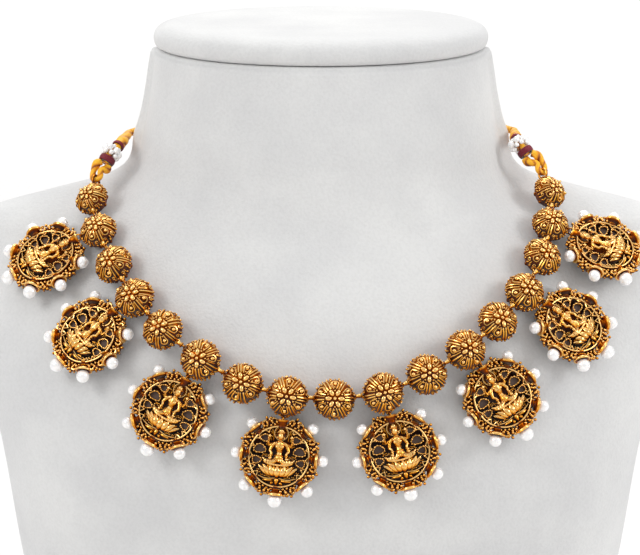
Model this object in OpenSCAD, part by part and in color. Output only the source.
/* [Bust] */
// Height of the seam between neck and cap, mm
seam_h = 255; // [240:1:270]
// Thickness of the cap, mm
cap_h = 8; // [5:1:14]
// Gap between neighbouring pieces, mm
gap = 0.3; // [0.1:0.05:0.6]
// Sharpness of the blend of neck and shoulders
blend = 6; // [3:1:9]
// Roundness of the shoulders' ends: 2 is an ellipse, more is squarer
shoulder_power = 2.5; // [2:0.1:4]
// Points round one ring of the bust
ring_points = 64; // [32:8:96]

/* [Beads] */
// Radius of a full bead's rim, mm
bead_r = 6.4; // [4:0.1:9]
// Height of a full bead's front dome, mm
bead_front = 5.3; // [3:0.1:7]
// Depth of a full bead's back dome, mm
bead_back = 4.9; // [3:0.1:7]
// Distance of the eyelets from the bead's centre, mm
eyelet_r = 5.75; // [4:0.1:9]
// Radius of an eyelet's hole, mm
eyelet_hole = 0.6; // [0.4:0.05:0.9]
// Radius of the wire of the rings, mm
link_wire = 0.24; // [0.15:0.01:0.5]
// Granules round the rim of a bead
rim_granules = 12; // [8:1:20]

/* [Medallions] */
// Radius of the bright front ring, mm
medal_ring_r = 9.1; // [7:0.1:12]
// Radius of the wire of the front ring, mm
medal_wire = 0.42; // [0.25:0.01:0.7]
// Depth of the medallion behind the ring's plane, mm
medal_depth = 4.7; // [3:0.1:6]
// Radius of the rim of a pearl cup, mm
cup_rim_r = 2.6; // [1.8:0.05:3.2]
// Distance of the lowest pearl's centre from the medallion's centre, mm
pearl_ring_r = 13.3; // [11:0.1:16]
// Radius of the lowest pearl, mm
pearl_r = 2.15; // [1.5:0.05:3]
// Distance from a bead's centre to its medallion's centre, mm
hang_length = 18; // [16:0.1:22]

/* [Cord] */
// Diameter of the cord behind the neck, mm
cord_d = 2.4; // [1.5:0.1:4]
// Radius of a strand where the loop bends round its ring, mm
strand_r = 0.85; // [0.5:0.05:1.5]
// Radius of the thread end under the bands, mm
core_r = 1.35; // [0.8:0.05:2]
// Radius of a seed pearl, mm
seed_r = 1.1; // [0.7:0.05:1.6]

/* [Hidden] */
$fn = 48;

// Rows of the bust: height, neck half width, neck half depth, shoulder half width, shoulder half
// depth, middle of the depth
bust_rows = [
  [0, 62, 35, 68, 30, 0],
  [50, 70, 44, 78, 40, 0],
  [95, 78, 52, 88, 46, -1],
  [136, 84, 57, 94, 50, -1],
  [165, 85, 54.5, 103, 43, 1],
  [185, 77, 52, 105.5, 32, 4],
  [198, 73.5, 48.5, 105, 22, 7],
  [206, 68.5, 46.5, 101, 15.5, 9],
  [211, 63.5, 45.8, 82, 10, 10],
  [216, 58.8, 45.6, 60, 6, 11],
  [230, 55.3, 45.5, 47, 2, 13],
  [255, 51.5, 44.5, 40, 2, 16.5],
];

// Beads from the left end to the right end: x, height, size, extra distance from the bust
bead_rows = [
  [-70.6, 211.3, 0.86, 2.2],
  [-68, 203.4, 0.93, 0.1],
  [-62.8, 195.2, 0.97, 0],
  [-56, 186.9, 1, 0],
  [-47.3, 178.9, 1, 0],
  [-35.8, 171.3, 1, 0],
  [-23.2, 165.1, 1, 0],
  [-9.9, 161.7, 1, 0],
  [4, 160.9, 1, 0],
  [18.4, 162.6, 1, 0],
  [31.4, 167.3, 1, 0],
  [43.1, 173.6, 1, 0],
  [52.9, 180.7, 1, 0],
  [61.3, 187.9, 1, 0],
  [67.2, 196.7, 0.97, 0],
  [70.3, 204.8, 0.93, 0.1],
  [70.6, 213, 0.86, 2.8],
];

// Medallions: direction from their bead (x, y, z), lean of the face (x, z), turn in degrees
medal_rows = [
  [-16.4, -0.8, -7.3, -0.32, 0.70, 6],
  [-14.3, -1.3, -10.9, -0.36, 0.56, 6],
  [-9.7, -2.9, -14.9, -0.23, 0.32, 3],
  [-2.6, -4.2, -17.3, -0.09, 0.20, 2],
  [4.9, -3.7, -16.9, 0.13, 0.20, -1],
  [11.1, -2.1, -13.9, 0.28, 0.33, -4],
  [15.2, -0.6, -9.6, 0.37, 0.58, -6],
  [16.8, -1.3, -6.0, 0.30, 0.74, -2],
];

// Stations of a thread end: bend of the loop, thick band, seed pearls, thin band, end of the taper
left_stations = [
  [-69.5, -3.5, 217.9],
  [-67.1, -1.0, 221.0],
  [-65.0, 1.0, 224.2],
  [-62.9, 4.7, 225.9],
  [-60.6, 18.0, 227.4],
];
right_stations = [
  [68.3, -2.0, 219.7],
  [64.3, 0.0, 223.4],
  [61.6, 1.8, 226.8],
  [60.9, 5.8, 227.7],
  [61.0, 18.5, 228.0],
];

// Cord behind the neck: direction from the neck's middle, height, distance from the bust
cord_rows = [
  [166, 227.2, 3.6],
  [159, 227.0, 2.9],
  [150, 226.9, 2.3],
  [137, 226.9, 2.0],
  [122, 226.9, 1.9],
  [106, 226.9, 1.9],
  [90, 226.9, 1.9],
  [74, 226.9, 1.9],
  [58, 226.9, 1.9],
  [43, 226.9, 2.0],
  [30, 227.1, 2.3],
  [21, 227.6, 2.9],
  [14, 227.9, 3.6],
];

gold = [0.78, 0.56, 0.2];
pearl_white = [0.95, 0.94, 0.9];
thread_gold = [0.9, 0.66, 0.12];
thread_red = [0.45, 0.05, 0.12];
velvet = [0.89, 0.88, 0.86];

function unit(v) = v / norm(v);
function flat(v, n) = v - n * (v * n);
function last(list) = list[len(list) - 1];

// Smooth value of a table at the height z, through all rows
function row_at(rows, z, i = 0) =
  (i >= len(rows) - 2 || z < rows[i + 1][0]) ? i : row_at(rows, z, i + 1);
function rise(rows, i) = (rows[i + 1] - rows[i]) / (rows[i + 1][0] - rows[i][0]);
function run(rows, i) = rows[i + 1][0] - rows[i][0];
function slope(rows, i) =
  i == 0 ? rise(rows, 0) :
  i == len(rows) - 1 ? rise(rows, i - 1) :
  (rise(rows, i - 1) * run(rows, i) + rise(rows, i) * run(rows, i - 1))
    / (run(rows, i) + run(rows, i - 1));
function table_at(rows, z) =
  let (i = row_at(rows, z), h = run(rows, i), t = (z - rows[i][0]) / h)
  (2 * t ^ 3 - 3 * t ^ 2 + 1) * rows[i]
    + (t ^ 3 - 2 * t ^ 2 + t) * h * slope(rows, i)
    + (3 * t ^ 2 - 2 * t ^ 3) * rows[i + 1]
    + (t ^ 3 - t ^ 2) * h * slope(rows, i + 1);

// Radius of the bust's section towards the angle a: neck and shoulder ellipses, blended
function oval(a, w, d, m) = (abs(cos(a) / w) ^ m + abs(sin(a) / d) ^ m) ^ (-1 / m);
function section_r(row, a) =
  (oval(a, row[1], row[2], 2) ^ blend + oval(a, row[3], row[4], shoulder_power) ^ blend)
    ^ (1 / blend);

// How far outside the bust a point is, as a share and then in mm, and the way outwards
function outside(p) =
  let (row = table_at(bust_rows, p[2]), x = p[0], y = p[1] - row[5])
  norm([x, y]) / section_r(row, atan2(y, x)) - 1;
function uphill(p, e = 0.3) = [
  outside(p + [e, 0, 0]) - outside(p - [e, 0, 0]),
  outside(p + [0, e, 0]) - outside(p - [0, e, 0]),
  outside(p + [0, 0, e]) - outside(p - [0, 0, e]),
] / (2 * e);
function clear_of(p) = outside(p) / norm(uphill(p));
function outwards(p) = unit(uphill(p));

// The y at which a point of the given x and height is d in front of the bust
function front_y(x, z, d, near = -90, far = 15, n = 26) =
  n == 0 ? (near + far) / 2 :
  clear_of([x, (near + far) / 2, z]) > d
    ? front_y(x, z, d, (near + far) / 2, far, n - 1)
    : front_y(x, z, d, near, (near + far) / 2, n - 1);

bead_n = len(bead_rows);
bead_at = [
  for (b = bead_rows)
    [b[0], front_y(b[0], b[1], bead_back * b[2] + gap + b[3]), b[1]]
];

// Medallions: centre, axis along the hang, outward axis, and where the cup's bar is
function carrier(k) = 2 * k + 1;
function medal_c(k) =
  let (m = medal_rows[k])
  bead_at[carrier(k)] + hang_length * unit([m[0], m[1], m[2]]);
function medal_lead(k) = unit(bead_at[carrier(k)] - medal_c(k));
function medal_z(k) =
  let (m = medal_rows[k], n = [m[3], -sqrt(1 - m[3] ^ 2 - m[4] ^ 2), m[4]])
  unit(flat(n, medal_lead(k)));
function medal_y(k) =
  let (y = medal_lead(k), x = cross(y, medal_z(k)), a = medal_rows[k][5])
  cos(a) * y - sin(a) * x;
bar_r = 10.7;
function medal_bar(k) = medal_c(k) + bar_r * medal_y(k);

// Beads: axis along the thread, outward axis, and the eyelets
function along(i) = unit(bead_at[min(i + 1, bead_n - 1)] - bead_at[max(i - 1, 0)]);
function bead_z(i) =
  let (x = along(i), plain = i % 2 == 0)
  plain
    ? unit(flat(outwards(bead_at[i]), x))
    : unit(cross(x, medal_lead((i - 1) / 2)));
function eyelet(i, target) =
  bead_at[i] + eyelet_r * bead_rows[i][2] * unit(flat(target - bead_at[i], bead_z(i)));
function end_target(i) = i == 0 ? left_stations[0] : right_stations[0];
function next_target(i, s) =
  (i + s < 0 || i + s > bead_n - 1) ? end_target(i) : bead_at[i + s];

module place(p, x, y, z) {
  multmatrix([
    [x[0], y[0], z[0], p[0]],
    [x[1], y[1], z[1], p[1]],
    [x[2], y[2], z[2], p[2]],
  ])
    children();
}

// A body along the line from a to b, drawn by its children upwards from the origin
module between(a, b) {
  w = unit(b - a);
  s = abs(w[2]) < 0.9 ? [0, 0, 1] : [1, 0, 0];
  u = unit(cross(s, w));
  place(a, u, cross(w, u), w)
    children();
}

module rod(a, b, r1, r2) {
  between(a, b)
    cylinder(h = norm(b - a), r1 = r1, r2 = r2);
}

module torus(r, wire) {
  rotate_extrude()
    translate([r, 0])
      circle(wire);
}

// A ring whose wire passes through a and b, standing on the face with the outward axis z
module link_ring(a, b, z, wire) {
  x = unit(b - a);
  side = unit(cross(z, x));
  place((a + b) / 2, x, cross(side, x), side)
    torus(norm(b - a) / 2, wire);
}

// Bust: rings of points, closer together where the shoulders end
heights = [
  for (z = [0 : 17 : 170]) z,
  for (z = [177 : 6 : 195]) z,
  for (z = [199 : 2.5 : 216.5]) z,
  for (z = [221 : 8.5 : 255]) z,
];
function turn_at(i) = let (t = 360 * i / ring_points) atan2(0.5 * sin(t), cos(t));
function bust_ring(z) =
  let (row = table_at(bust_rows, z))
  [
    for (i = [0 : ring_points - 1])
      let (a = turn_at(i), r = section_r(row, a))
      [r * cos(a), row[5] + r * sin(a), z]
  ];

module loft(rings) {
  n = len(rings[0]);
  m = len(rings);
  polyhedron(
    points = [for (ring = rings) each ring],
    faces = [
      [for (i = [0 : n - 1]) i],
      [for (i = [n - 1 : -1 : 0]) (m - 1) * n + i],
      for (j = [0 : m - 2])
        for (i = [0 : n - 1])
          each [
            [j * n + i, (j + 1) * n + i, j * n + (i + 1) % n],
            [j * n + (i + 1) % n, (j + 1) * n + i, (j + 1) * n + (i + 1) % n],
          ],
    ]
  );
}

module bust_form() {
  color(velvet)
    loft([for (z = heights) bust_ring(z)]);
}

// Cap: an oval pad with a soft rim, from a table of height and growth beyond the neck
cap_rows = [
  [0.3, -0.9],
  [1.2, 0.3],
  [3.2, 0.9],
  [5.2, 0.5],
  [6.8, -0.9],
  [7.7, -3.4],
  [8.0, -7.0],
];
module bust_cap() {
  row = last(bust_rows);
  color(velvet)
    loft([
      for (c = cap_rows)
        [
          for (i = [0 : ring_points - 1])
            let (a = 360 * i / ring_points, g = c[1])
            [
              (row[1] + g) * cos(a),
              row[5] + (row[2] + g) * sin(a),
              seam_h + c[0] * cap_h / 8
            ]
        ]
    ]);
}

// Half the thickness of a bead's rim and of its eyelets, the wall round an eyelet's hole, the cut's
// length
rim_half = 0.34;
lobe_half = 0.42;
lobe_wall = 0.4;
hole_cut = 5.2;

// Granules of a bead: distance from the middle, height, radius, number
inner_granules = [2.0, 4.35, 0.72, 8];
outer_granules = [5.5, 1.55, 0.7, rim_granules];

// One bead in its own frame: x along the thread, z outwards
bead_profile = [
  [0, -bead_back],
  [1.6, -bead_back + 0.1],
  [3.6, -3.9],
  [5.1, -2.2],
  [5.7, -rim_half],
  [bead_r, -rim_half],
  [bead_r, rim_half],
  [5.9, rim_half],
  [5.5, 1.9],
  [4.6, 3.1],
  [3.5, 3.9],
  [3.1, 3.8],
  [2.8, 4.2],
  [1.3, 4.6],
  [0.9, bead_front - 0.2],
  [0.3, bead_front],
  [0, bead_front],
];

module granules(row, start) {
  for (k = [0 : row[3] - 1])
    rotate([0, 0, (k + start) * 360 / row[3]])
      translate([row[0], 0, row[1]])
        sphere(row[2]);
}

module bead_body() {
  rotate_extrude()
    polygon(bead_profile);
  granules(inner_granules, 0);
  granules(outer_granules, 0.5);
}

module eyelet_lobe() {
  cylinder(h = 2 * lobe_half, r = eyelet_hole + lobe_wall, center = true);
}

module bead(i) {
  z = bead_z(i);
  x = unit(flat(along(i), z));
  s = bead_rows[i][2];
  ends = concat(
    [eyelet(i, next_target(i, -1)), eyelet(i, next_target(i, 1))],
    i % 2 == 1 ? [eyelet(i, medal_bar((i - 1) / 2))] : []
  );
  color(gold)
    difference() {
      union() {
        place(bead_at[i], x, cross(z, x), z)
          scale(s)
            bead_body();
        for (e = ends)
          place(e, x, cross(z, x), z)
            eyelet_lobe();
      }
      for (e = ends)
        place(e, x, cross(z, x), z)
          cylinder(h = hole_cut, r = eyelet_hole, center = true);
    }
}

module bead_links() {
  color(gold)
    for (i = [0 : bead_n - 2])
      link_ring(
        eyelet(i, next_target(i, 1)),
        eyelet(i + 1, next_target(i + 1, -1)),
        unit(bead_z(i) + bead_z(i + 1)),
        link_wire
      );
}

// One medallion in its own frame: y towards the bead, z outwards. Cups sit this far behind the ring
cup_z = -1;
// Stem and flare of a pearl cup: start, length, radius at the start, radius at the end
cup_parts = [
  [8.6, 2.2, 1.5, 1.5],
  [10.3, 1.8, 1.4, cup_rim_r],
];
// The empty cup on top: body and hollow, the same columns
top_parts = [
  [8.6, 2.5, 1.7, 2.5],
  [9.0, 3, 1.15, 2.3],
];
bar_wire = 0.3;
bar_length = 4;
// Room between a pearl and its cup
cup_room = 0.22;
// Pearls round a medallion: direction, step outwards from the lowest pearl's distance, share of its
// radius
pearl_rows = [
  [135, -0.5, 0.75],
  [180, -0.4, 0.75],
  [225, -0.1, 0.85],
  [270, -0.1, 1],
  [315, -0.1, 0.85],
  [0, -0.3, 0.75],
  [45, -0.4, 0.75],
];

module flare(row) {
  translate([row[0], 0, 0])
    rotate([0, 90, 0])
      cylinder(h = row[1], r1 = row[2], r2 = row[3]);
}

module pearl_cup(row) {
  difference() {
    translate([0, 0, cup_z]) {
      flare(cup_parts[0]);
      flare(cup_parts[1]);
    }
    translate([pearl_ring_r + row[1], 0, cup_z])
      sphere(pearl_r * row[2] + cup_room);
  }
}

module top_cup() {
  rotate([0, 0, 90])
    difference() {
      flare(top_parts[0]);
      flare(top_parts[1]);
    }
  translate([0, bar_r, 0])
    rotate([0, 90, 0])
      cylinder(h = bar_length, r = bar_wire, center = true);
}

// Seated figure on a lotus, balls: x, y, z, radius
figure_balls = [
  [-3.2, -7.3, -0.7, 1.5],
  [0, -7.3, -0.7, 1.5],
  [3.2, -7.3, -0.7, 1.5],
  [-4.6, -3.2, -0.6, 1.45],
  [-2.3, -4.25, -0.6, 1.45],
  [0, -4.6, -0.6, 1.45],
  [2.3, -4.25, -0.6, 1.45],
  [4.6, -3.2, -0.6, 1.45],
  [-4.1, -1.0, -0.3, 1.4],
  [4.1, -1.0, -0.3, 1.4],
  [0, 2.6, -0.1, 1.95],
  [0, 5.9, 0.2, 1.35],
];
// Crown and crossed legs, rods: start x, y, z, end x, y, z, radii
figure_rods = [
  [0, 6.8, -0.2, 0, 8.8, -0.2, 1.5, 0.6],
  [-4.1, -1.0, -0.3, 4.1, -1.0, -0.3, 1.35, 1.35],
];
// Rods on both sides, four for the arms and three twigs, the same columns
side_rods = [
  [1.3, 3.4, -0.2, 3.5, 1.2, 0, 0.6, 0.5],
  [3.5, 1.2, 0, 3.2, -0.6, 0.3, 0.55, 0.5],
  [1.2, 3.6, -0.6, 3.6, 4.4, -0.6, 0.6, 0.5],
  [3.6, 4.4, -0.6, 4.0, 6.9, -0.6, 0.55, 0.7],
  [3.6, 4.4, -1, 8.3, 3.6, -0.6, 0.5, 0.45],
  [3.4, 1.4, -1, 9.0, 0.4, -0.6, 0.5, 0.45],
  [4.3, -3.4, -1, 8.5, -3.2, -0.6, 0.6, 0.45],
];
// Blocks of base and trunk behind the figure: corner x, y, size x, y, top
figure_blocks = [
  [-4.6, -8.6, 9.2, 2.7, -0.4],
  [-1.9, -1, 3.8, 9.4, -0.3],
];
// Lotus seat: radius, y of its middle, top
seat = [3.9, -3.6, -0.4];
figure_back = -4.3;

module row_rod(row, s) {
  rod([s * row[0], row[1], row[2]], [s * row[3], row[4], row[5]], row[6], row[7]);
}

module figure() {
  for (row = figure_blocks)
    translate([row[0], row[1], figure_back])
      cube([row[2], row[3], row[4] - figure_back]);
  translate([0, seat[1], figure_back])
    cylinder(h = seat[2] - figure_back, r = seat[0]);
  for (row = figure_balls)
    translate([row[0], row[1], row[2]])
      sphere(row[3]);
  for (row = figure_rods)
    row_rod(row, 1);
  for (s = [-1, 1])
    for (row = side_rods)
      row_rod(row, s);
}

// Drum of the medallion: back plate's radius and thickness, wall's outer and inner radius
plate_r = 9.3;
plate_h = 0.6;
wall_outer = 9.45;
wall_inner = 8.75;
// Balls between the cups: distance from the middle, radius
between_balls = [
  [9.9, 0.95],
  [11.1, 0.7],
];

module pendant(k) {
  y = medal_y(k);
  z = medal_z(k);
  color(gold)
    place(medal_c(k), cross(y, z), y, z) {
      translate([0, 0, -medal_depth])
        cylinder(h = plate_h, r = plate_r);
      translate([0, 0, -medal_depth])
        difference() {
          cylinder(h = medal_depth, r = wall_outer);
          translate([0, 0, -1])
            cylinder(h = medal_depth + 2, r = wall_inner);
        }
      torus(medal_ring_r, medal_wire);
      for (row = pearl_rows)
        rotate([0, 0, row[0]])
          pearl_cup(row);
      top_cup();
      for (j = [0 : 7])
        rotate([0, 0, 45 * j + 22.5])
          for (ball = between_balls)
            translate([ball[0], 0, cup_z])
              sphere(ball[1]);
      figure();
    }
}

module pendant_pearls(k) {
  y = medal_y(k);
  z = medal_z(k);
  color(pearl_white)
    place(medal_c(k), cross(y, z), y, z)
      for (row = pearl_rows)
        rotate([0, 0, row[0]])
          translate([pearl_ring_r + row[1], 0, cup_z])
            sphere(pearl_r * row[2]);
}

// A ring through a bead's eyelet, round the bar in the mouth of the top cup
past_bar = 0.7;
module pendant_links() {
  color(gold)
    for (k = [0 : 7]) {
      i = carrier(k);
      a = eyelet(i, medal_bar(k));
      b = medal_bar(k);
      link_ring(a, b + past_bar * unit(b - a), unit(bead_z(i) + medal_z(k)), link_wire);
    }
}

// Thread ends: a ring on the last bead, a doubled loop, bands, seed pearls and a taper
end_ring_d = 3.4;
end_wire = 0.3;
hairpin_r = 1.4;
// Straight start of the loop's legs, up to the knee
leg_start = 1.8;
// Way a viewer in front looks along, turned round
front = [0, -1, 0.2];
// Legs from the thick band down: share of the way to the knee, half their distance, radius
leg_rows = [
  [0.1, 1.2, 1.05],
  [0.45, 1.7, 1.3],
];
// Taper behind the bands: share of the way to its end, radius
taper_rows = [
  [0.16, 2],
  [0.4, 1.8],
];
function end_eyelet(s) =
  s < 0 ? eyelet(0, left_stations[0]) : eyelet(bead_n - 1, right_stations[0]);
function stations(s) = s < 0 ? left_stations : right_stations;
function bend_dir(s) = unit(stations(s)[0] - end_eyelet(s));
function ring_far(s) = end_eyelet(s) + end_ring_d * bend_dir(s);
function end_z(s) = s < 0 ? bead_z(0) : bead_z(bead_n - 1);

module end_ring(s) {
  color(gold)
    link_ring(end_eyelet(s), ring_far(s), end_z(s), end_wire);
}

module thread_end(s) {
  st = stations(s);
  d = bend_dir(s);
  side = unit(cross(end_z(s), d));
  c = ring_far(s);
  knee = c + leg_start * d;
  way = unit(st[2] - st[1]);
  across = cross(way, front);
  apart = sign(across * side) * unit(across);
  n = len(leg_rows);
  leg = [for (row = leg_rows) st[1] + row[0] * (knee - st[1])];
  bend = [
    knee + hairpin_r * side,
    for (a = [0 : 30 : 180]) c + hairpin_r * (cos(a) * side - sin(a) * d),
    knee - hairpin_r * side,
  ];
  loop = [
    for (i = [0 : n - 1]) leg[i] + leg_rows[i][1] * apart,
    each bend,
    for (i = [n - 1 : -1 : 0]) leg[i] - leg_rows[i][1] * apart,
  ];
  loop_r = [
    for (i = [0 : n - 1]) leg_rows[i][2],
    for (p = bend) strand_r,
    for (i = [n - 1 : -1 : 0]) leg_rows[i][2],
  ];
  core = [
    st[1] + gap * way,
    st[2],
    st[3],
    for (row = taper_rows) st[3] + row[0] * (st[4] - st[3]),
    st[4],
  ];
  thick = [core_r, core_r, core_r, for (row = taper_rows) row[1], cord_d / 2];
  color(thread_gold) {
    tube(loop, loop_r, end_z(s), 10);
    tube(core, thick, end_z(s), 12);
  }
}

// A wound band, a short sleeve round the thread end, with its edges set back
band_edge = 0.25;
band_room = 0.15;
module band(p, way, r, h) {
  color(thread_red)
    between(p - way * h / 2, p + way * h / 2)
      difference() {
        union() {
          cylinder(h = h, r = r - band_edge);
          translate([0, 0, band_edge])
            cylinder(h = h - 2 * band_edge, r = r);
        }
        translate([0, 0, -1])
          cylinder(h = h + 2, r = core_r + band_room);
      }
}

// Bands: distance from their station, radius, height
thick_row = [1.4, 2.6, 2];
thin_row = [-0.7, 2.0, 1.2];
module thick_band(s) {
  st = stations(s);
  way = unit(st[2] - st[1]);
  band(st[1] + thick_row[0] * way, way, thick_row[1], thick_row[2]);
}

module thin_band(s) {
  st = stations(s);
  way = unit(st[3] - st[2]);
  band(st[3] + thin_row[0] * way, way, thin_row[1], thin_row[2]);
}

seed_n = 7;
seed_room = 0.4;
module seed_pearls(s) {
  st = stations(s);
  color(pearl_white)
    between(st[2], st[2] + st[3] - st[1])
      for (k = [0 : seed_n - 1])
        rotate([0, 0, 360 * k / seed_n])
          translate([core_r + seed_r + seed_room, 0, 0])
            sphere(seed_r);
}

// Cord: one tube through a smooth line along the route
function spline(p, n) = [
  for (i = [0 : len(p) - 2])
    for (j = [0 : n - 1])
      let (
        a = p[max(i - 1, 0)],
        b = p[i],
        c = p[i + 1],
        d = p[min(i + 2, len(p) - 1)],
        t = j / n
      )
      0.5 * ((2 * b) + (c - a) * t + (2 * a - 5 * b + 4 * c - d) * t ^ 2
        + (3 * b - a - 3 * c + d) * t ^ 3),
  last(p),
];
function tube_ring(line, i, r, ref, sides) =
  let (
    w = unit(line[min(i + 1, len(line) - 1)] - line[max(i - 1, 0)]),
    u = unit(cross(ref, w)),
    v = cross(w, u)
  )
  [for (k = [0 : sides - 1]) line[i] + r * (cos(-360 * k / sides) * u + sin(-360 * k / sides) * v)];
module tube(line, radii, ref, sides) {
  loft([for (i = [0 : len(line) - 1]) tube_ring(line, i, radii[i], ref, sides)]);
}

function cord_point(row) =
  let (b = table_at(bust_rows, row[1]), r = section_r(b, row[0]) + row[2])
  [r * cos(row[0]), b[5] + r * sin(row[0]), row[1]];
// Distance between the cord's ends and the tapers
cord_gap = 0.75;
function next_to(p, q) = p + cord_gap * unit(q - p);

module back_cord() {
  inner = [for (row = cord_rows) cord_point(row)];
  ends = [next_to(left_stations[4], inner[0]), next_to(right_stations[4], last(inner))];
  line = spline([ends[0], each inner, ends[1]], 4);
  color(thread_gold)
    tube(line, [for (p = line) cord_d / 2], [0, 0, 1], 8);
}

bust_form();
bust_cap();
bead(0);  // bead_01
bead(1);  // bead_02
bead(2);  // bead_03
bead(3);  // bead_04
bead(4);  // bead_05
bead(5);  // bead_06
bead(6);  // bead_07
bead(7);  // bead_08
bead(8);  // bead_09
bead(9);  // bead_10
bead(10);  // bead_11
bead(11);  // bead_12
bead(12);  // bead_13
bead(13);  // bead_14
bead(14);  // bead_15
bead(15);  // bead_16
bead(16);  // bead_17
pendant(0);  // pendant_1
pendant(1);  // pendant_2
pendant(2);  // pendant_3
pendant(3);  // pendant_4
pendant(4);  // pendant_5
pendant(5);  // pendant_6
pendant(6);  // pendant_7
pendant(7);  // pendant_8
pendant_pearls(0);  // pendant_pearls_1
pendant_pearls(1);  // pendant_pearls_2
pendant_pearls(2);  // pendant_pearls_3
pendant_pearls(3);  // pendant_pearls_4
pendant_pearls(4);  // pendant_pearls_5
pendant_pearls(5);  // pendant_pearls_6
pendant_pearls(6);  // pendant_pearls_7
pendant_pearls(7);  // pendant_pearls_8
bead_links();
pendant_links();
end_ring(-1);  // end_ring_left
end_ring(1);  // end_ring_right
thread_end(-1);  // thread_end_left
thread_end(1);  // thread_end_right
thick_band(-1);  // thick_band_left
thick_band(1);  // thick_band_right
thin_band(-1);  // thin_band_left
thin_band(1);  // thin_band_right
seed_pearls(-1);  // seed_pearls_left
seed_pearls(1);  // seed_pearls_right
back_cord();
